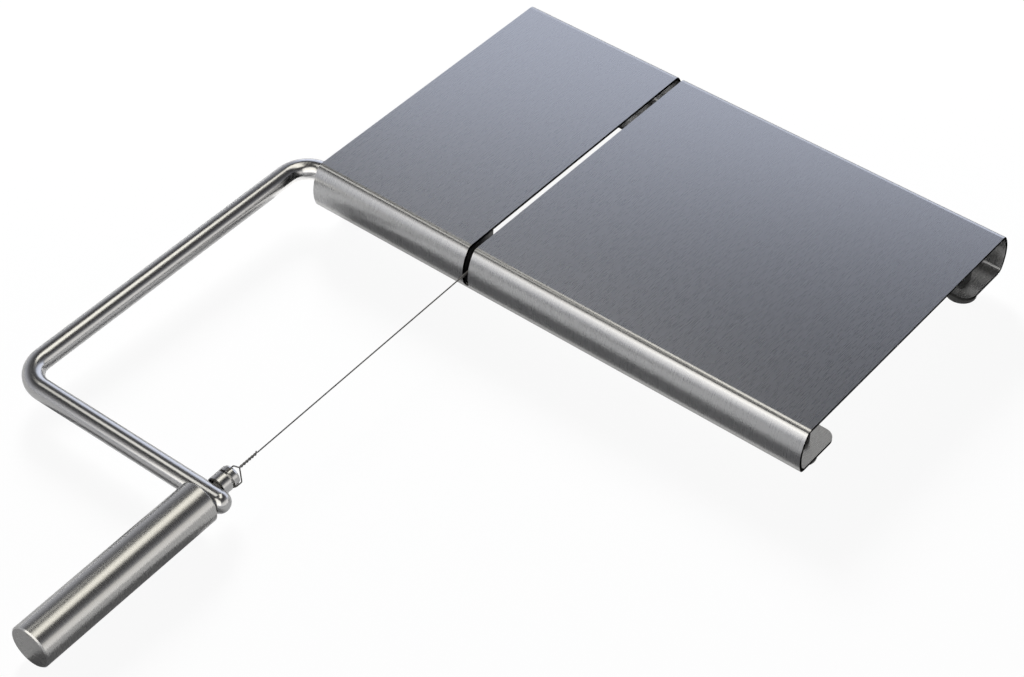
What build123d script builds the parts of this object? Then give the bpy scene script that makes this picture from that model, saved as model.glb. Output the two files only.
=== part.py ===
from build123d import *
from math import acos, asin, atan2, cos, degrees, hypot, radians, sin, tan
import os

# Wire slicer for soft foods: a rolled sheet board with a cutting slot, and a bent rod lever that
# carries a tensioned wire. Millimetres. X runs along the board, Y from the lever's rest side to the
# far side, +Z up. The origin is the centre of the board's flat top.

# Board sheet
board_length = 215.0
flat_width = 124.3  # between the lines where the two rolls start
board_height = 18.5
sheet_thickness = 1.2
roll_bend_radius = 3.0  # of a roll's tight upper and lower bends, outside
roll_side_radius = 16.6  # of the flatter side between the two bends, outside
upper_bend_turn = 57.0  # in degrees
flange_width = 19.0  # from the flat's edge to the free edge of the flange below
flange_corner_radius = 4.5

# Cutting slot
slot_from_left = 71.8
slot_width = 2.5
slot_near_foot = 2.7  # height of the slot's lower end above the board's underside, near roll
closed_rise = 3.0  # the wire's slope in the closed slot, in degrees
notch_clearance = 0.4  # below the wire's twisted end when the lever is closed

# Lever rod
rod_diameter = 8.0
rod_wall_gap = 4.8  # between the rod and the near roll's inner wall
pivot_below_middle = 0.3  # pivot axis below the middle of the board's height
lever_bend_radius = 10.5
arm_gap = 9.3  # between the board's left end and the arm, at the pivot
arm_spread = 2.4  # how much further out the arm stands at the crossbar, as bent
rod_end_length = 3.0  # rod beyond its right retaining ring
rod_end_chamfer = 0.6
ball_offset = 5.1  # centre of the crossbar's round end beyond the grip's axis

# Bearing blocks and their fixings
bearing_length = 14.0
bearing_skin_gap = 0.1  # between a block and the sheet round it
bearing_back = 3.6  # wall behind the rod
bearing_foot_gap = 1.5  # clear length between the left foot's stem and the left block
rod_running_gap = 0.05
screw_radius = 1.5
screw_engagement = 2.6  # screw length inside a block
screw_gap = 0.1
screw_head_radius = 2.8
screw_head_height = 1.9
ring_thickness = 0.8
ring_width = 2.3
ring_groove_depth = 0.6
ring_gap = 0.1  # between a ring and the block beside it
ring_fit = 0.03
ring_mouth = 4.2  # opening of a ring, across its gap

# Feet
foot_from_end = 8.0
foot_from_edge = 9.5
foot_height = 6.0
foot_radius = 5.8
stem_radius = 2.5
stem_height = 3.3  # above the flange
stem_bevel = 0.4
neck_radius = 2.0
neck_gap = 0.1

# Grip and tension screw
grip_diameter = 16.0
grip_length = 77.4
grip_edge = 0.5
grip_thrust_gap = 0.1
crossbar_flat_depth = 0.3
crossbar_flat_margin = 0.25
stud_radius = 2.0
stud_flat_depth = 0.5
stud_gap = 0.05
stud_engagement = 18.0
bore_reserve = 6.0  # bore left beyond the stud's end
head_clearance = 7.2  # between the far roll and the head when the lever is closed
head_radius = 3.85
head_base_length = 3.8
head_groove_width = 0.95
head_groove_depth = 0.9
head_disc_length = 3.05
head_disc_round = 1.1  # of the disc's front edge, turned as two bevels
head_seat_gap = 0.1

# Cutting wire
wire_radius = 0.25
twist_radius = 0.45
wire_fit = 0.05
head_apex_gap = 3.4  # from the head's face to the point where the wire's legs meet
head_twist_length = 7.9
rod_apex_distance = 7.5  # from the pivot axis to the point where the loop's legs meet
rod_twist_length = 5.0
rod_loop_straight = 2.2
rod_groove_depth = 0.5
rod_groove_width = 1.0
slack_travel = 0.7  # travel of the stud when the grip is turned once, one thread pitch

# Places that follow from the sizes above
left_end = -board_length / 2
flat_edge = flat_width / 2
table_z = -(board_height + foot_height)
slot_x = left_end + slot_from_left
slot_left = slot_x - slot_width / 2
slot_right = slot_x + slot_width / 2
rod_radius = rod_diameter / 2
grip_radius = grip_diameter / 2

# The roll's section is three tangent arcs: how far it stands out beyond the flat's edge, and where
# its lower bend starts so that the underside comes out at the board's height
upper_sin = sin(radians(upper_bend_turn))
upper_cos = cos(radians(upper_bend_turn))
roll_bulge = roll_bend_radius * upper_sin + roll_side_radius * (1 - upper_sin)
side_drop = (board_height - 2 * roll_bend_radius) / (roll_side_radius - roll_bend_radius)
lower_bend_start = degrees(acos(upper_cos - side_drop))

pivot_y = -flat_edge - (roll_bulge - sheet_thickness) + rod_wall_gap + rod_radius
pivot_z = -(board_height / 2 + pivot_below_middle)
far_reach = flat_edge + roll_bulge - pivot_y

head_face = far_reach + head_clearance
disc_back = head_face + head_disc_length
groove_back = disc_back + head_groove_width
head_back = groove_back + head_base_length
crossbar_distance = head_back + head_seat_gap + rod_radius
flat_distance = crossbar_distance + rod_radius - crossbar_flat_depth
grip_start = flat_distance + grip_thrust_gap
grip_end = grip_start + grip_length
stud_end = grip_start + stud_engagement

# At rest the grip's free end lies on the table, which gives the lever's slope
end_drop = pivot_z - table_z
rest_slope = degrees(asin(end_drop / hypot(grip_end, grip_radius)) - atan2(grip_radius, grip_end))
reach_y = -cos(radians(rest_slope))
reach_z = -sin(radians(rest_slope))

arm_x = left_end - arm_gap - rod_radius
ball_x = slot_x + ball_offset

lever_plane = Plane(origin=(0, pivot_y, pivot_z), x_dir=(1, 0, 0), z_dir=(0, -reach_z, reach_y))
wire_plane = Plane(origin=(slot_x, pivot_y, pivot_z), x_dir=(0, reach_y, reach_z), z_dir=(-1, 0, 0))
grip_axis = Axis((slot_x, pivot_y, pivot_z), (0, reach_y, reach_z))


def across_lever(distance):
    """Plane square to the lever's length, on the grip's axis, at a distance from the pivot."""
    origin = (slot_x, pivot_y + distance * reach_y, pivot_z + distance * reach_z)
    return Plane(origin=origin, x_dir=(1, 0, 0), z_dir=(0, reach_y, reach_z))


def near_roll(inset):
    """Near half of the section's line from the flat's edge to the flange, inset from the outside."""
    bend_radius = roll_bend_radius - inset
    side_turn = lower_bend_start - upper_bend_turn
    upper_bend = JernArc((-flat_edge, -inset), (-1, 0), bend_radius, upper_bend_turn)
    side = JernArc(upper_bend @ 1, upper_bend % 1, roll_side_radius - inset, side_turn)
    return JernArc(side @ 1, side % 1, bend_radius, 180 - lower_bend_start)


def bearing(start_x):
    """Block in the near roll that the rod turns in, with a bore for the rod and one for its screw."""
    inset = sheet_thickness + bearing_skin_gap
    with BuildPart() as block:
        with BuildSketch(Plane.YZ.offset(start_x)):
            with BuildLine():
                lower_bend = near_roll(inset)
                back_y = pivot_y + rod_radius + bearing_back
                floor = Line(lower_bend @ 1, (back_y, -board_height + inset))
                Polyline(floor @ 1, (back_y, -inset), (-flat_edge, -inset))
            make_face()
            with Locations((pivot_y, pivot_z)):
                Circle(rod_radius + rod_running_gap, mode=Mode.SUBTRACT)
        extrude(amount=bearing_length)
        with BuildSketch(Plane.XY.offset(-board_height + inset)):
            with Locations((start_x + bearing_length / 2, pivot_y)):
                Circle(screw_radius + screw_gap)
        extrude(amount=screw_engagement + screw_gap, mode=Mode.SUBTRACT)
    return block.part


foot_x = board_length / 2 - foot_from_end
foot_y = flat_edge - foot_from_edge
bearing_starts = {
    "bearing_left": -foot_x + stem_radius + bearing_foot_gap,
    "bearing_middle": slot_left - bearing_length,
    "bearing_right": slot_right,
}
screw_spots = [(start + bearing_length / 2, pivot_y) for start in bearing_starts.values()]
ring_starts = [
    slot_left - bearing_length - ring_gap - ring_thickness,
    slot_right + bearing_length + ring_gap,
]
rod_end_x = ring_starts[1] + ring_thickness + rod_end_length

# How low the slot's cut has to reach in the far roll for the closed wire
closed_wire_z = pivot_z + (far_reach - roll_bulge) * tan(radians(closed_rise))
notch_z = closed_wire_z - twist_radius - notch_clearance

# Board sheet: one section for its whole length, then the slot, the corners and the holes
with BuildPart() as board_sheet:
    with BuildSketch(Plane.YZ.offset(left_end)):
        with BuildLine():
            outer_bend = near_roll(0)
            inner_bend = near_roll(sheet_thickness)
            flange_edge = -flat_edge + flange_width
            Line((0, 0), (-flat_edge, 0))
            Line((0, -sheet_thickness), (-flat_edge, -sheet_thickness))
            Polyline(
                outer_bend @ 1,
                (flange_edge, -board_height),
                (flange_edge, -board_height + sheet_thickness),
                inner_bend @ 1,
            )
            mirror(about=Plane.YZ)
        make_face()
    extrude(amount=board_length)
    fillet(board_sheet.edges().filter_by(Axis.Z).group_by(Axis.Z)[0], flange_corner_radius)
    # near part of the slot, down the roll's side
    with BuildSketch(Plane.XZ.offset(flat_edge + 2 * roll_bulge)):
        with Locations((slot_x, -board_height + slot_near_foot + slot_width / 2)):
            Circle(slot_width / 2)
            Rectangle(slot_width, 2 * board_height, align=(Align.CENTER, Align.MIN))
    extrude(amount=-(3 * roll_bulge), mode=Mode.SUBTRACT)
    # the slot across the flat and over the far roll
    with BuildSketch(Plane.XZ.offset(flat_edge)):
        with Locations((slot_x, notch_z + slot_width / 2)):
            Circle(slot_width / 2)
            Rectangle(slot_width, 2 * board_height, align=(Align.CENTER, Align.MIN))
    extrude(amount=-(flat_width + 2 * roll_bulge), mode=Mode.SUBTRACT)
    with BuildSketch(Plane.XY.offset(-board_height)):
        with Locations(*[(x, y) for x in (-foot_x, foot_x) for y in (-foot_y, foot_y)]):
            Circle(neck_radius + neck_gap)
        with Locations(*screw_spots):
            Circle(screw_radius + screw_gap)
    extrude(amount=sheet_thickness, mode=Mode.SUBTRACT)
board_sheet.part.label = "board_sheet"

# Bearing blocks
bearings = {name: bearing(start) for name, start in bearing_starts.items()}
for name, block in bearings.items():
    block.label = name

# Screws that hold the blocks, driven up through the near flange
with BuildPart() as bearing_screws:
    with BuildSketch(Plane.XY.offset(-board_height)):
        with Locations(*screw_spots):
            Circle(screw_head_radius)
    extrude(amount=-screw_head_height)
    with BuildSketch(Plane.XY.offset(-board_height)):
        with Locations(*screw_spots):
            Circle(screw_radius)
    extrude(amount=sheet_thickness + bearing_skin_gap + screw_engagement)
bearing_screws.part.label = "bearing_screws"

# Push-in rubber feet, each with a stem that snaps into a hole of the flange
feet = {}
for side, y in (("near", -foot_y), ("far", foot_y)):
    for end, x in (("left", -foot_x), ("right", foot_x)):
        with BuildPart() as foot:
            with BuildSketch(Plane.XZ):
                with BuildLine():
                    Polyline(
                        (0, -foot_height),
                        (foot_radius, -foot_height),
                        (foot_radius, 0),
                        (neck_radius, 0),
                        (neck_radius, sheet_thickness),
                        (stem_radius, sheet_thickness),
                        (stem_radius, sheet_thickness + stem_height - stem_bevel),
                        (stem_radius - stem_bevel, sheet_thickness + stem_height),
                        (0, sheet_thickness + stem_height),
                        close=True,
                    )
                make_face()
            revolve(axis=Axis.Z)
        placed = Pos(x, y, -board_height) * foot.part
        placed.label = f"foot_{side}_{end}"
        feet[placed.label] = placed

# Lever rod: pivot shaft, arm and crossbar from one bent rod with a round end
with BuildPart() as lever_rod:
    with BuildLine(lever_plane) as rod_line:
        FilletPolyline(
            (rod_end_x, 0),
            (arm_x, 0),
            (arm_x - arm_spread, crossbar_distance),
            (ball_x, crossbar_distance),
            radius=lever_bend_radius,
        )
    with BuildSketch(Plane(rod_line.line @ 0, z_dir=rod_line.line % 0)):
        Circle(rod_radius)
    sweep(path=rod_line.line)
    chamfer(lever_rod.edges().sort_by(Axis.X)[-1], rod_end_chamfer)
    with Locations(lever_plane.from_local_coords((ball_x, crossbar_distance, 0))):
        Sphere(rod_radius)
    # flat on the crossbar that the grip's end turns against
    with BuildSketch(across_lever(flat_distance)):
        Circle(grip_radius + crossbar_flat_margin)
    extrude(amount=rod_diameter, mode=Mode.SUBTRACT)
    # hole for the stud, with a flat that stops the stud from turning
    with BuildSketch(across_lever(head_back)):
        Circle(stud_radius + stud_gap)
        with Locations((0, stud_radius - stud_flat_depth + stud_gap)):
            Rectangle(2 * rod_radius, rod_radius, align=(Align.CENTER, Align.MIN), mode=Mode.SUBTRACT)
    extrude(amount=2 * rod_diameter, mode=Mode.SUBTRACT)
    # grooves for the retaining rings and for the wire's loop
    grooves = [(start, ring_thickness + ring_fit, ring_groove_depth) for start in ring_starts]
    grooves.append((slot_x - rod_groove_width / 2, rod_groove_width, rod_groove_depth))
    for start, width, depth in grooves:
        with BuildSketch(Plane.YZ.offset(start)):
            with Locations((pivot_y, pivot_z)):
                Circle(2 * rod_radius)
                Circle(rod_radius - depth, mode=Mode.SUBTRACT)
        extrude(amount=width, mode=Mode.SUBTRACT)
lever_rod.part.label = "lever_rod"

# Retaining rings, open on their lower side, that keep the rod in place along the board
with BuildPart() as retaining_rings:
    for start in ring_starts:
        with BuildSketch(Plane.YZ.offset(start)):
            with Locations((pivot_y, pivot_z)):
                Circle(rod_radius - ring_groove_depth + ring_width)
                Circle(rod_radius - ring_groove_depth + ring_fit, mode=Mode.SUBTRACT)
                Rectangle(ring_mouth, 2 * rod_diameter, align=(Align.CENTER, Align.MAX), mode=Mode.SUBTRACT)
        extrude(amount=ring_thickness)
retaining_rings.part.label = "retaining_rings"

# Grip: a plain bar with a blind tapped bore, which is the nut of the tension screw
with BuildPart() as grip:
    with BuildSketch(across_lever(grip_start)):
        Circle(grip_radius)
    extrude(amount=grip_length)
    chamfer(grip.edges().filter_by(GeomType.CIRCLE), grip_edge)
    with BuildSketch(across_lever(grip_start)):
        Circle(stud_radius + stud_gap)
    extrude(amount=stud_engagement + bore_reserve, mode=Mode.SUBTRACT)
grip.part.label = "grip"

# Tension stud: turned head with a groove for the wire, and a shank with one flat
disc_edge_inset = head_disc_round * (1 - sin(radians(45)))
with BuildPart() as tension_stud:
    with BuildSketch(wire_plane):
        with BuildLine():
            Polyline(
                (head_face, 0),
                (head_face, head_radius - head_disc_round),
                (head_face + disc_edge_inset, head_radius - disc_edge_inset),
                (head_face + head_disc_round, head_radius),
                (disc_back, head_radius),
                (disc_back, head_radius - head_groove_depth),
                (groove_back, head_radius - head_groove_depth),
                (groove_back, head_radius),
                (head_back, head_radius),
                (head_back, stud_radius),
                (stud_end, stud_radius),
                (stud_end, 0),
                close=True,
            )
        make_face()
    revolve(axis=grip_axis)
    with BuildSketch(across_lever(head_back)):
        with Locations((0, stud_radius - stud_flat_depth)):
            Rectangle(2 * stud_radius, stud_radius, align=(Align.CENTER, Align.MIN))
    extrude(amount=stud_end - head_back, mode=Mode.SUBTRACT)
tension_stud.part.label = "tension_stud"

# Cutting wire: a loop round the rod, a twist, the straight cutting length, a second twist, and a
# loop over the head's disc and round its groove. The twists are tubes of the pair's outer size.
head_apex = head_face - head_apex_gap
head_twist_start = head_apex - head_twist_length
rod_twist_end = rod_apex_distance + rod_twist_length
loop_radius = rod_radius - rod_groove_depth + wire_fit + wire_radius
over_disc = head_radius + wire_fit + wire_radius
in_groove = head_radius - head_groove_depth + wire_fit + wire_radius
groove_middle = disc_back + head_groove_width / 2

with BuildPart() as cutting_wire:
    # upper half of the loop round the rod
    with BuildLine(wire_plane) as rod_loop:
        CenterArc((0, 0), loop_radius, 180, -90)
        Polyline((0, loop_radius), (rod_loop_straight, loop_radius), (rod_apex_distance, 0))
    with BuildSketch(Plane(rod_loop.line @ 0, z_dir=rod_loop.line % 0)):
        Circle(wire_radius)
    sweep(path=rod_loop.line, transition=Transition.RIGHT)
    # upper half of the loop over the head
    with BuildLine(wire_plane) as head_loop:
        Polyline(
            (head_apex, 0),
            (head_face + head_disc_round / 2, over_disc),
            (groove_middle, over_disc),
            (groove_middle, in_groove),
        )
    with BuildSketch(Plane(head_loop.line @ 0, z_dir=head_loop.line % 0)):
        Circle(wire_radius)
    sweep(path=head_loop.line, transition=Transition.RIGHT)
    mirror(about=lever_plane)
    # round the head's groove, on the side away from the arm
    with BuildLine(across_lever(groove_middle)) as groove_loop:
        CenterArc((0, 0), in_groove, -90, 180)
    with BuildSketch(Plane(groove_loop.line @ 0, z_dir=groove_loop.line % 0)):
        Circle(wire_radius)
    sweep(path=groove_loop.line)
    # twists and straight length
    for start, end, radius in (
        (rod_apex_distance - twist_radius, rod_twist_end, twist_radius),
        (rod_twist_end, head_twist_start, wire_radius),
        (head_twist_start, head_apex + twist_radius, twist_radius),
    ):
        with BuildSketch(across_lever(start)):
            Circle(radius)
        extrude(amount=end - start)
cutting_wire.part.label = "cutting_wire"

pieces = [
    board_sheet.part,
    *bearings.values(),
    bearing_screws.part,
    *feet.values(),
    lever_rod.part,
    retaining_rings.part,
    grip.part,
    tension_stud.part,
    cutting_wire.part,
]
os.makedirs("parts", exist_ok=True)
for piece in pieces:
    export_step(piece, f"parts/{piece.label}.step")
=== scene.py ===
import math

import bpy
from mathutils import Matrix, Quaternion, Vector


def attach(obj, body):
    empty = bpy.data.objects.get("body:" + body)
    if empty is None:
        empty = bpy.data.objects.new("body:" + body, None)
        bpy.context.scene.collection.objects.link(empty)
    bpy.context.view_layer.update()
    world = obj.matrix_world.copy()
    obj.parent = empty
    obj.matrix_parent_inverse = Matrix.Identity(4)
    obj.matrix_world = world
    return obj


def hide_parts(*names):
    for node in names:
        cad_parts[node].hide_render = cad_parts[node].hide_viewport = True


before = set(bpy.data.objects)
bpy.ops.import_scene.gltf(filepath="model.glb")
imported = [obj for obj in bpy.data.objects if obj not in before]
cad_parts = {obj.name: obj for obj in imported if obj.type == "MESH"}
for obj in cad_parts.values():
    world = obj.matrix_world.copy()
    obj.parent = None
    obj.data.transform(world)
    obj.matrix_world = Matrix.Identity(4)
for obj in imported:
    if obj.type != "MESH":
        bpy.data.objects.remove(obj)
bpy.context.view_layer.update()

scene = bpy.context.scene
MM = 0.001

# Where the CAD puts things, in millimetres
TABLE_Z = -24.5
ABOVE_FLANGES = -16.5
SLOT_X = -35.7
PIVOT_Y = -57.344
PIVOT_Z = -9.55
REST_SLOPE = math.radians(1.77115)
REACH = Vector((0, -math.cos(REST_SLOPE), -math.sin(REST_SLOPE)))
LIFT = Vector((0, -math.sin(REST_SLOPE), math.cos(REST_SLOPE)))
PIVOT = Vector((SLOT_X, PIVOT_Y, PIVOT_Z))
HEAD_FACE = 131.888
DISC_BACK = HEAD_FACE + 3.05
GROOVE_BACK = DISC_BACK + 0.95
BEYOND_GRIP = 275


def lever_point(along, up, side=0.0):
    """A point in metres: along the lever from its pivot, above its axis, and to its right."""
    return (PIVOT + REACH * along + LIFT * up + Vector((side, 0, 0))) * MM


# Camera, worked out from the lines of the board and the lever
CAMERA_PLACE = Vector((0.39558, -0.61083, 0.61875))
CAMERA_AZIMUTH = math.radians(36.992)
CAMERA_HEIGHT = math.radians(43.552)
CAMERA_ROLL = math.radians(1.804)
CAMERA_LENS = 92.41
CAMERA_SENSOR = 36
CAMERA_NEAR = 0.01
CAMERA_FAR = 50

camera_data = bpy.data.cameras.new("camera")
camera_data.lens = CAMERA_LENS
camera_data.sensor_width = CAMERA_SENSOR
camera_data.clip_start = CAMERA_NEAR
camera_data.clip_end = CAMERA_FAR
camera = bpy.data.objects.new("camera", camera_data)
scene.collection.objects.link(camera)
scene.camera = camera
camera_back = Vector((
    math.sin(CAMERA_AZIMUTH) * math.cos(CAMERA_HEIGHT),
    -math.cos(CAMERA_AZIMUTH) * math.cos(CAMERA_HEIGHT),
    math.sin(CAMERA_HEIGHT),
))
unrolled_right = Vector((math.cos(CAMERA_AZIMUTH), math.sin(CAMERA_AZIMUTH), 0))
unrolled_up = camera_back.cross(unrolled_right)
camera_right = math.cos(CAMERA_ROLL) * unrolled_right + math.sin(CAMERA_ROLL) * unrolled_up
camera_up = -math.sin(CAMERA_ROLL) * unrolled_right + math.cos(CAMERA_ROLL) * unrolled_up
camera_axes = Matrix((camera_right, camera_up, camera_back)).transposed()
camera.matrix_world = Matrix.Translation(CAMERA_PLACE) @ camera_axes.to_4x4()


class Nodes:
    """A short way to build a node tree: each call adds a node and links its inputs."""

    def __init__(self, tree):
        self.tree = tree
        tree.nodes.clear()

    def add(self, kind, settings=None, **inputs):
        """Inputs go by name, with _ for a space, or by number as i0, i1 and so on."""
        node = self.tree.nodes.new(kind)
        for name, value in (settings or {}).items():
            setattr(node, name, value)
        for name, value in inputs.items():
            numbered = name[0] == "i" and name[1:].isdigit()
            socket = node.inputs[int(name[1:]) if numbered else name.replace("_", " ")]
            if isinstance(value, bpy.types.NodeSocket):
                self.tree.links.new(value, socket)
            else:
                socket.default_value = value
        return node

    def math(self, operation, first, second=0.0):
        return self.add("ShaderNodeMath", {"operation": operation}, i0=first, i1=second).outputs[0]

    def vector(self, operation, first, second):
        node = self.add("ShaderNodeVectorMath", {"operation": operation}, i0=first, i1=second)
        return node.outputs["Value" if operation == "DOT_PRODUCT" else "Vector"]

    def scaled(self, colour, amount):
        node = self.add("ShaderNodeVectorMath", {"operation": "SCALE"}, i0=colour, Scale=amount)
        return node.outputs["Vector"]

    def mixed_colour(self, share, first, second):
        """The colours are the mix node's inputs 6 and 7, and their mixture its output 2."""
        node = self.add("ShaderNodeMix", {"data_type": "RGBA"}, i0=share, i6=first, i7=second)
        return node.outputs[2]

    def height(self, vector):
        return self.add("ShaderNodeSeparateXYZ", None, Vector=vector).outputs["Z"]

    def ramp(self, value, low, high, to_low, to_high):
        node = self.add(
            "ShaderNodeMapRange", {"interpolation_type": "SMOOTHSTEP"},
            i0=value, i1=low, i2=high, i3=to_low, i4=to_high,
        )
        return node.outputs[0]


def grey(level):
    return (level, level, level, 1.0)


# World: a dim room with a pale band round the horizon. The camera sees it white, and a small share
# of that white is in the reflections.
ROOM_LEVEL = (0.025, 0.025, 0.03)
ROOM_REFLECTED_SHARE = 0.02
HORIZON_LEVEL = (0.62, 0.63, 0.68)
HORIZON_TOP = 50
HORIZON_FULL = 2

world = bpy.data.worlds.new("studio")
scene.world = world
world.use_nodes = True
w = Nodes(world.node_tree)
direction = w.add("ShaderNodeTexCoord").outputs["Generated"]
elevation = w.math("DEGREES", w.math("ARCSINE", w.height(direction)))
horizon = w.scaled(HORIZON_LEVEL, w.ramp(elevation, HORIZON_FULL, HORIZON_TOP, 1, 0))
room = w.vector("ADD", horizon, ROOM_LEVEL)
ray = w.add("ShaderNodeLightPath").outputs
shown = w.math("MAXIMUM", ray["Is Camera Ray"], ray["Is Transmission Ray"])
mirrored = w.math("MULTIPLY", ray["Is Glossy Ray"], ROOM_REFLECTED_SHARE)
world_colour = w.mixed_colour(w.math("MAXIMUM", shown, mirrored), room, grey(1))
background = w.add("ShaderNodeBackground", None, Color=world_colour, Strength=1.0)
w.add("ShaderNodeOutputWorld", None, Surface=background.outputs[0])


# Lamps: one lamp lights the floor and the black pieces, and keeps out of the steel's reflections.
# The cards are the walls and the top of a light tent, and show in the reflections only.
KEY_LEVEL = 72
KEY_SIZE = (0.5, 0.5)
TENT = {
    # name: (place, aim, size across and up, level, colour, turn)
    "top_card": (
        (-0.09, 0.143, 0.80), (-0.09, 0.143, 0), (0.285, 0.78), 1.62, (1.0, 0.97, 0.88), 46),
    "back_card": (
        (-0.06, 0.647, 0.235), (0.22, 0.117, 0.235), (1.2, 0.51), 0.74, (0.79, 0.86, 1.06), 0),
    "front_card": (
        (0.18, -0.60, 0.49), (0.18, 0, 0.49), (1.02, 0.82), 1.48, (1.0, 0.975, 0.91), 0),
    "right_card": (
        (0.62, 0.20, 0.18), (0, 0.20, 0.18), (1.3, 0.40), 0.50, (1.0, 0.95, 0.85), 0),
    "left_card": (
        (-0.545, -0.15, 0.80), (-0.545, -0.15, 0), (0.26, 0.34), 1.4, (1.0, 0.98, 0.92), 0),
    "under_card": (
        (0.0, 0.004, -0.0244), (0.0, 0.004, 1), (0.25, 0.146), 0.65, (1.0, 0.99, 0.97), 0),
}


def area_lamp(name, place, aim, size, level, colour, turn, card):
    """Its level is its brightness in a reflection, and turn spins it about its aim, in degrees."""
    data = bpy.data.lights.new(name, "AREA")
    data.shape = "RECTANGLE"
    data.size, data.size_y = size
    data.energy = 4 * level * size[0] * size[1]
    data.color = colour
    lamp = bpy.data.objects.new(name, data)
    lamp.location = place
    lamp.rotation_mode = "QUATERNION"
    aimed = (Vector(aim) - Vector(place)).to_track_quat("-Z", "Y")
    lamp.rotation_quaternion = aimed @ Quaternion((0, 0, 1), math.radians(turn))
    lamp.visible_camera = False
    lamp.visible_glossy = card
    lamp.visible_diffuse = not card
    scene.collection.objects.link(lamp)


area_lamp(
    "key_lamp", (-1.27, 1.10, 0.85), (0, -0.05, 0), KEY_SIZE, KEY_LEVEL, (1, 1, 1), 0, card=False)
for name, card_values in TENT.items():
    area_lamp(name, *card_values, card=True)


def new_material(name):
    material = bpy.data.materials.new(name)
    material.use_nodes = True
    return material, Nodes(material.node_tree)


def mesh_object(name, points, faces, smooth=False):
    mesh = bpy.data.meshes.new(name)
    mesh.from_pydata([tuple(p) for p in points], [], faces)
    mesh.update()
    if smooth:
        mesh.shade_smooth()
    made = bpy.data.objects.new(name, mesh)
    scene.collection.objects.link(made)
    return made


# Floor: near white to the camera, with a share left matt for the shadow. Reflections see it darker.
FLOOR_REACH = 12.0
FLOOR_MATT_LEVEL = 0.9
FLOOR_WHITE_SHARE = 0.93
FLOOR_REFLECTED_SHARE = 0.30
FLOOR_REFLECTED_LEVEL = 0.20

floor = mesh_object(
    "floor",
    [
        (x * FLOOR_REACH, y * FLOOR_REACH, TABLE_Z * MM)
        for x, y in ((-1, -1), (1, -1), (1, 1), (-1, 1))
    ],
    [(0, 1, 2, 3)],
)
floor_material, n = new_material("floor_white")
ray = n.add("ShaderNodeLightPath").outputs
direct = n.math("MULTIPLY", ray["Is Camera Ray"], FLOOR_WHITE_SHARE)
mirrored = n.math("MAXIMUM", ray["Is Glossy Ray"], ray["Is Transmission Ray"])
glow_share = n.math("MAXIMUM", direct, n.math("MULTIPLY", mirrored, FLOOR_REFLECTED_SHARE))
glow_level = n.math("MAXIMUM", ray["Is Camera Ray"], FLOOR_REFLECTED_LEVEL)
matt = n.add("ShaderNodeBsdfDiffuse", None, Color=grey(FLOOR_MATT_LEVEL))
glow = n.add("ShaderNodeEmission", None, Color=grey(1), Strength=glow_level)
floor_shader = n.add(
    "ShaderNodeMixShader", None, Fac=glow_share, i1=matt.outputs[0], i2=glow.outputs[0])
n.add("ShaderNodeOutputMaterial", None, Surface=floor_shader.outputs[0])
floor.data.materials.append(floor_material)


# Materials, from noise in the object's own coordinates, and painted shade on cut faces
GRAIN_LOW = 0.3
GRAIN_HIGH = 0.7
GRAIN_ROUGHNESS = 0.6

STEEL_DETAIL = 1.5
STEEL_ROUGHNESS_SWING = 0.01
STEEL_DEPTH = 0.00004
# where the painted shade on cut faces falls
CUT_FACING_LOW = 0.85
CUT_FACING_HIGH = 0.97
UPRIGHT_LOW = 0.3
UPRIGHT_HIGH = 0.5
CUT_HEIGHT_FADE = 0.0003

MOULDING_DETAIL = 4.0
MOULDING_DARKEST = 0.8
MOULDING_PALEST = 1.25
MOULDING_ROUGHNESS_SWING = 0.05
MOULDING_DEPTH = 0.0001


def painted_shade_on_cut_faces(n, coords, axis, level, below):
    """The painted shade of cut faces: a colour scale that is level where they face along axis, and
    1 elsewhere.

    Where below is given, upright faces under that height are cut faces too.
    """
    normal = n.add("ShaderNodeTexCoord").outputs["Normal"]
    facing = n.math("ABSOLUTE", n.vector("DOT_PRODUCT", normal, axis))
    shade = n.ramp(facing, CUT_FACING_LOW, CUT_FACING_HIGH, 1.0, level)
    if below is not None:
        tilt = n.math("ABSOLUTE", n.height(normal))
        upright = n.ramp(tilt, UPRIGHT_LOW, UPRIGHT_HIGH, level, 1.0)
        above = n.ramp(n.height(coords), below - CUT_HEIGHT_FADE, below, 0.0, 1.0)
        shade = n.math("MINIMUM", shade, n.math("MAXIMUM", upright, above))
    return shade


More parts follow.
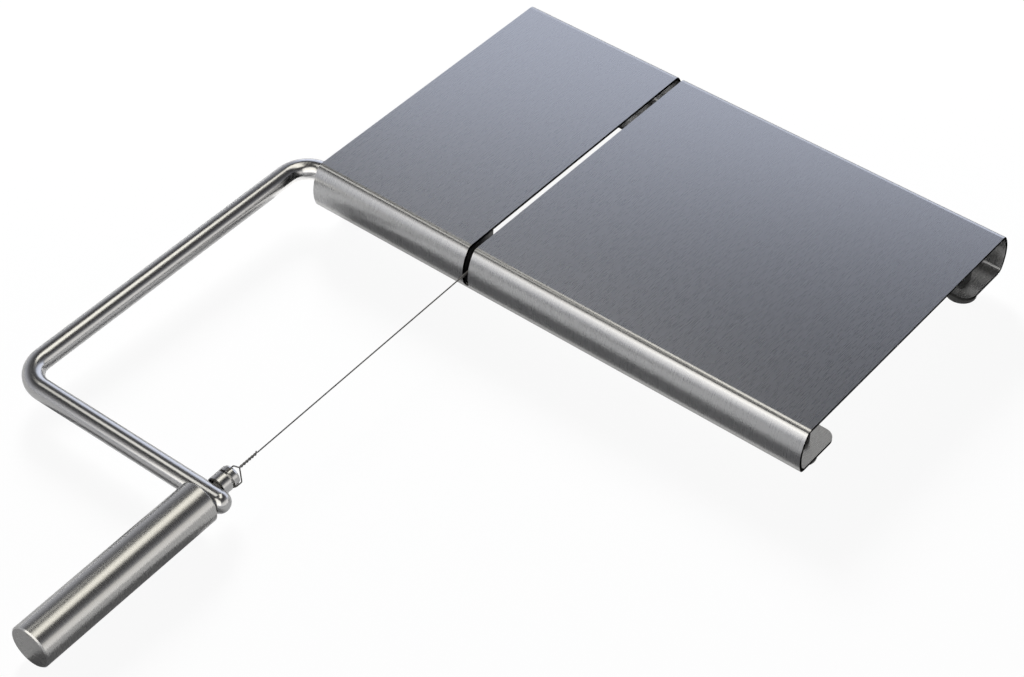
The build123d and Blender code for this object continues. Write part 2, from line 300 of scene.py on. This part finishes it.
def brushed_steel(
    name, colour, roughness, stretch, grain_scale, contrast, bump,
    anisotropy=0.0, spread=None, pole=None, cut=None, glance=1.0,
):
    """Steel with fine grooves, which run where stretch is small.

    The highlights spread across the grooves: along spread, or straight away from pole on a turned
    piece. cut is the axis, the painted shade level and the height for painted_shade_on_cut_faces,
    which darkens cut faces in the colour as painted shade. glance is how much of the full
    reflection is left at a glancing angle.
    """
    material, n = new_material(name)
    coords = n.add("ShaderNodeTexCoord").outputs["Object"]
    stretched = n.add(
        "ShaderNodeMapping", None, Vector=coords, Scale=[s * grain_scale for s in stretch])
    grain = n.add(
        "ShaderNodeTexNoise", None,
        Vector=stretched.outputs[0], Scale=1.0, Detail=STEEL_DETAIL, Roughness=GRAIN_ROUGHNESS,
    ).outputs[0]
    shade = n.ramp(grain, GRAIN_LOW, GRAIN_HIGH, 1.0 - contrast, 1.0 + contrast)
    # painted shade: cut faces are darkened in the base colour
    if cut is not None:
        shade = n.math("MULTIPLY", shade, painted_shade_on_cut_faces(n, coords, *cut))
    rough = n.ramp(
        grain, GRAIN_LOW, GRAIN_HIGH,
        roughness - STEEL_ROUGHNESS_SWING, roughness + STEEL_ROUGHNESS_SWING,
    )
    relief = n.add("ShaderNodeBump", None, Strength=bump, Distance=STEEL_DEPTH, Height=grain)
    shader = n.add(
        "ShaderNodeBsdfPrincipled", None,
        Base_Color=n.scaled(colour, shade), Metallic=1.0, Roughness=rough,
        Anisotropic=anisotropy, Normal=relief.outputs[0], Specular_Tint=grey(glance),
    )
    if pole is not None:
        spread = n.vector("SUBTRACT", coords, pole)
    if spread is not None:
        turned = n.add(
            "ShaderNodeVectorTransform",
            {"vector_type": "VECTOR", "convert_from": "OBJECT", "convert_to": "WORLD"},
            Vector=spread,
        )
        n.tree.links.new(turned.outputs[0], shader.inputs["Tangent"])
    n.add("ShaderNodeOutputMaterial", None, Surface=shader.outputs[0])
    return material


def dark_moulding(name, colour, roughness, scale, bump):
    material, n = new_material(name)
    coords = n.add("ShaderNodeTexCoord").outputs["Object"]
    grain = n.add(
        "ShaderNodeTexNoise", None,
        Vector=coords, Scale=scale, Detail=MOULDING_DETAIL, Roughness=GRAIN_ROUGHNESS,
    ).outputs[0]
    shade = n.ramp(grain, GRAIN_LOW, GRAIN_HIGH, MOULDING_DARKEST, MOULDING_PALEST)
    rough = n.ramp(
        grain, GRAIN_LOW, GRAIN_HIGH,
        roughness - MOULDING_ROUGHNESS_SWING, roughness + MOULDING_ROUGHNESS_SWING,
    )
    relief = n.add("ShaderNodeBump", None, Strength=bump, Distance=MOULDING_DEPTH, Height=grain)
    shader = n.add(
        "ShaderNodeBsdfPrincipled", None,
        Base_Color=n.scaled(colour, shade), Roughness=rough, Normal=relief.outputs[0],
    )
    n.add("ShaderNodeOutputMaterial", None, Surface=shader.outputs[0])
    return material


ALONG_BOARD = (1, 0, 0)
TURNING_POLE = tuple(lever_point(BEYOND_GRIP, 0))
# painted shade: the sheet's cut edges, and its upright edges below ABOVE_FLANGES, are darkened to
# 0.04 of the colour
sheet_steel = brushed_steel(
    "sheet_brushed", colour=(0.50, 0.50, 0.50), roughness=0.28, stretch=(1, 0.05, 0.05),
    grain_scale=3400, contrast=0.035, bump=0.02, anisotropy=0.65, spread=ALONG_BOARD,
    cut=(ALONG_BOARD, 0.04, ABOVE_FLANGES * MM), glance=0.35,
)
rod_steel = brushed_steel(
    "rod_ground", colour=(0.50, 0.497, 0.49), roughness=0.22, stretch=(1, 1, 1),
    grain_scale=7000, contrast=0.03, bump=0.01,
)
# painted shade: the grip's end face is darkened to 0.55 of the colour
grip_steel = brushed_steel(
    "grip_turned", colour=(0.50, 0.495, 0.48), roughness=0.27, stretch=(0.08, 1, 0.08),
    grain_scale=3200, contrast=0.02, bump=0.01, anisotropy=0.5, pole=TURNING_POLE,
    cut=(tuple(REACH), 0.55, None),
)
stud_steel = brushed_steel(
    "stud_turned", colour=(0.50, 0.495, 0.485), roughness=0.25, stretch=(0.1, 1, 0.1),
    grain_scale=4200, contrast=0.03, bump=0.01, anisotropy=0.5, pole=TURNING_POLE,
)
wire_steel = brushed_steel(
    "wire_drawn", colour=(0.15, 0.145, 0.14), roughness=0.35, stretch=(1, 0.1, 1),
    grain_scale=6000, contrast=0.08, bump=0.05,
)
small_steel = brushed_steel(
    "small_steel", colour=(0.5, 0.5, 0.5), roughness=0.30, stretch=(1, 1, 1),
    grain_scale=3000, contrast=0.06, bump=0.08,
)
black_plastic = dark_moulding(
    "black_nylon", colour=(0.018, 0.018, 0.019), roughness=0.45, scale=1400, bump=0.15)
black_rubber = dark_moulding(
    "black_rubber", colour=(0.022, 0.022, 0.022), roughness=0.7, scale=1800, bump=0.25)

FINISHES = {
    "board_sheet": sheet_steel,
    "lever_rod": rod_steel,
    "retaining_rings": small_steel,
    "bearing_screws": small_steel,
    "grip": grip_steel,
    "tension_stud": stud_steel,
    "bearing_left": black_plastic,
    "bearing_middle": black_plastic,
    "bearing_right": black_plastic,
    "foot_near_left": black_rubber,
    "foot_near_right": black_rubber,
    "foot_far_left": black_rubber,
    "foot_far_right": black_rubber,
}
for node, material in FINISHES.items():
    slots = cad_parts[node].material_slots
    for slot in slots:
        slot.material = material
    if not slots:
        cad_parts[node].data.materials.append(material)


# Cutting wire: one real wire, looped round the rod and over the head. Each loop is closed by a
# twist of the wire's two strands. Lengths are in millimetres.
WIRE_RADIUS = 0.25
STRAND_OFFSET = 0.28
STUB_LENGTH = 0.7
STRAIGHT_MARGIN = 1.0
ROD_LOOP_RADIUS = 3.8
ROD_APEX = 7.5
ROD_TWIST_END = ROD_APEX + 5.0
ROD_TURNS = 4
HEAD_APEX = HEAD_FACE - 3.4
HEAD_TWIST_START = HEAD_APEX - 7.9
HEAD_TURNS = 3
OVER_DISC = 4.15
IN_GROOVE = 3.25
GROOVE_MIDDLE = (DISC_BACK + GROOVE_BACK) / 2
LOOP_LEAVES = math.radians(8)
LOOP_RETURNS = math.radians(112)
GROOVE_START_SHARE = 0.04
GROOVE_SHARE = 0.92

# each leg of a loop as pairs of places: along the lever, and away from its axis
ROD_LEG = ((ROD_APEX - 0.6, 0.45), (4.2, 2.6), (2.4, ROD_LOOP_RADIUS))
HEAD_LEG = (
    (HEAD_APEX + 0.3, 0.3),
    (HEAD_FACE - 0.5, OVER_DISC - 0.55),
    (HEAD_FACE - 0.1, OVER_DISC - 0.05),
    (HEAD_FACE + 0.5, OVER_DISC),
    (DISC_BACK - 0.1, OVER_DISC),
)

STEPS_PER_TURN = 14
ROD_LOOP_STEPS = 12
GROOVE_STEPS = 22
ROD_ROUNDS = 2
HEAD_ROUNDS = 3
SIDES = 10
QUARTER = math.pi / 2


def tube(name, points, radius):
    """A round tube along points in metres, whose ring turns as little as possible on its way."""
    last = len(points) - 1
    tangents = [
        (points[min(i + 1, last)] - points[max(i - 1, 0)]).normalized() for i in range(last + 1)
    ]
    normal = tangents[0].orthogonal().normalized()
    vertices, faces = [], []
    for point, tangent in zip(points, tangents):
        normal = (normal - tangent * normal.dot(tangent)).normalized()
        side = tangent.cross(normal)
        for k in range(SIDES):
            turn = 2 * math.pi * k / SIDES
            vertices.append(point + (normal * math.cos(turn) + side * math.sin(turn)) * radius)
    for i in range(last):
        ring, following = i * SIDES, (i + 1) * SIDES
        for k in range(SIDES):
            j = (k + 1) % SIDES
            faces.append((ring + k, ring + j, following + j, following + k))
    faces.append(tuple(reversed(range(SIDES))))
    faces.append(tuple(range(last * SIDES, (last + 1) * SIDES)))
    return mesh_object(name, vertices, faces, smooth=True)


def smoothed(points, rounds):
    """Corner cutting: each round replaces a corner by two points nearer to it."""
    for _ in range(rounds):
        rounder = [points[0]]
        for a, b in zip(points, points[1:]):
            rounder.append(a * 0.75 + b * 0.25)
            rounder.append(a * 0.25 + b * 0.75)
        rounder.append(points[-1])
        points = rounder
    return points


def twist(start, end, turns, phase):
    """One strand of a twisted pair, from start to end along the lever."""
    steps = int(abs(turns) * STEPS_PER_TURN)
    strand = []
    for i in range(steps + 1):
        share = i / steps
        angle = phase + 2 * math.pi * turns * share
        strand.append(lever_point(
            start + (end - start) * share,
            math.sin(angle) * STRAND_OFFSET,
            math.cos(angle) * STRAND_OFFSET,
        ))
    return strand


def round_head(along, radius, turn):
    """A point round the head, turned from its top toward its right."""
    return lever_point(along, radius * math.cos(turn), radius * math.sin(turn))


rod_upper_leg, rod_lower_leg = (
    [lever_point(along, side * away) for along, away in ROD_LEG] for side in (1, -1)
)
rod_wrap = [
    lever_point(ROD_LOOP_RADIUS * math.cos(t), ROD_LOOP_RADIUS * math.sin(t))
    for t in (QUARTER + i * math.pi / ROD_LOOP_STEPS for i in range(ROD_LOOP_STEPS + 1))
]
rod_loop = [*rod_lower_leg, *reversed(rod_wrap), *reversed(rod_upper_leg)]

head_leaving_leg, head_returning_leg = (
    [round_head(along, away, turn) for along, away in HEAD_LEG]
    for turn in (LOOP_LEAVES, LOOP_RETURNS)
)
groove_angle = LOOP_RETURNS - 2 * math.pi - LOOP_LEAVES
groove_wrap = [
    round_head(
        GROOVE_MIDDLE, IN_GROOVE,
        LOOP_LEAVES + groove_angle * (GROOVE_START_SHARE + GROOVE_SHARE * i / GROOVE_STEPS),
    )
    for i in range(GROOVE_STEPS + 1)
]
head_loop = [*head_leaving_leg, *groove_wrap, *reversed(head_returning_leg)]

wire_points = [
    *reversed(twist(ROD_APEX, ROD_TWIST_END, ROD_TURNS, -QUARTER)),
    *smoothed(rod_loop, ROD_ROUNDS)[1:-1],
    *twist(ROD_APEX, ROD_TWIST_END, ROD_TURNS, QUARTER),
    lever_point(ROD_TWIST_END + STRAIGHT_MARGIN, 0),
    lever_point((ROD_TWIST_END + HEAD_TWIST_START) / 2, 0),
    lever_point(HEAD_TWIST_START - STRAIGHT_MARGIN, 0),
    *reversed(twist(HEAD_APEX, HEAD_TWIST_START, -HEAD_TURNS, QUARTER)),
    *smoothed(head_loop, HEAD_ROUNDS)[1:-1],
    *twist(HEAD_APEX, HEAD_TWIST_START, -HEAD_TURNS, -QUARTER),
    lever_point(HEAD_TWIST_START - 0.3, STRAND_OFFSET + STUB_LENGTH),
]
wire = tube("cutting_wire_twisted", wire_points, WIRE_RADIUS * MM)
wire.data.materials.append(wire_steel)
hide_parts("cutting_wire")
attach(wire, "tension_screw")

scene.view_settings.view_transform = "Standard"
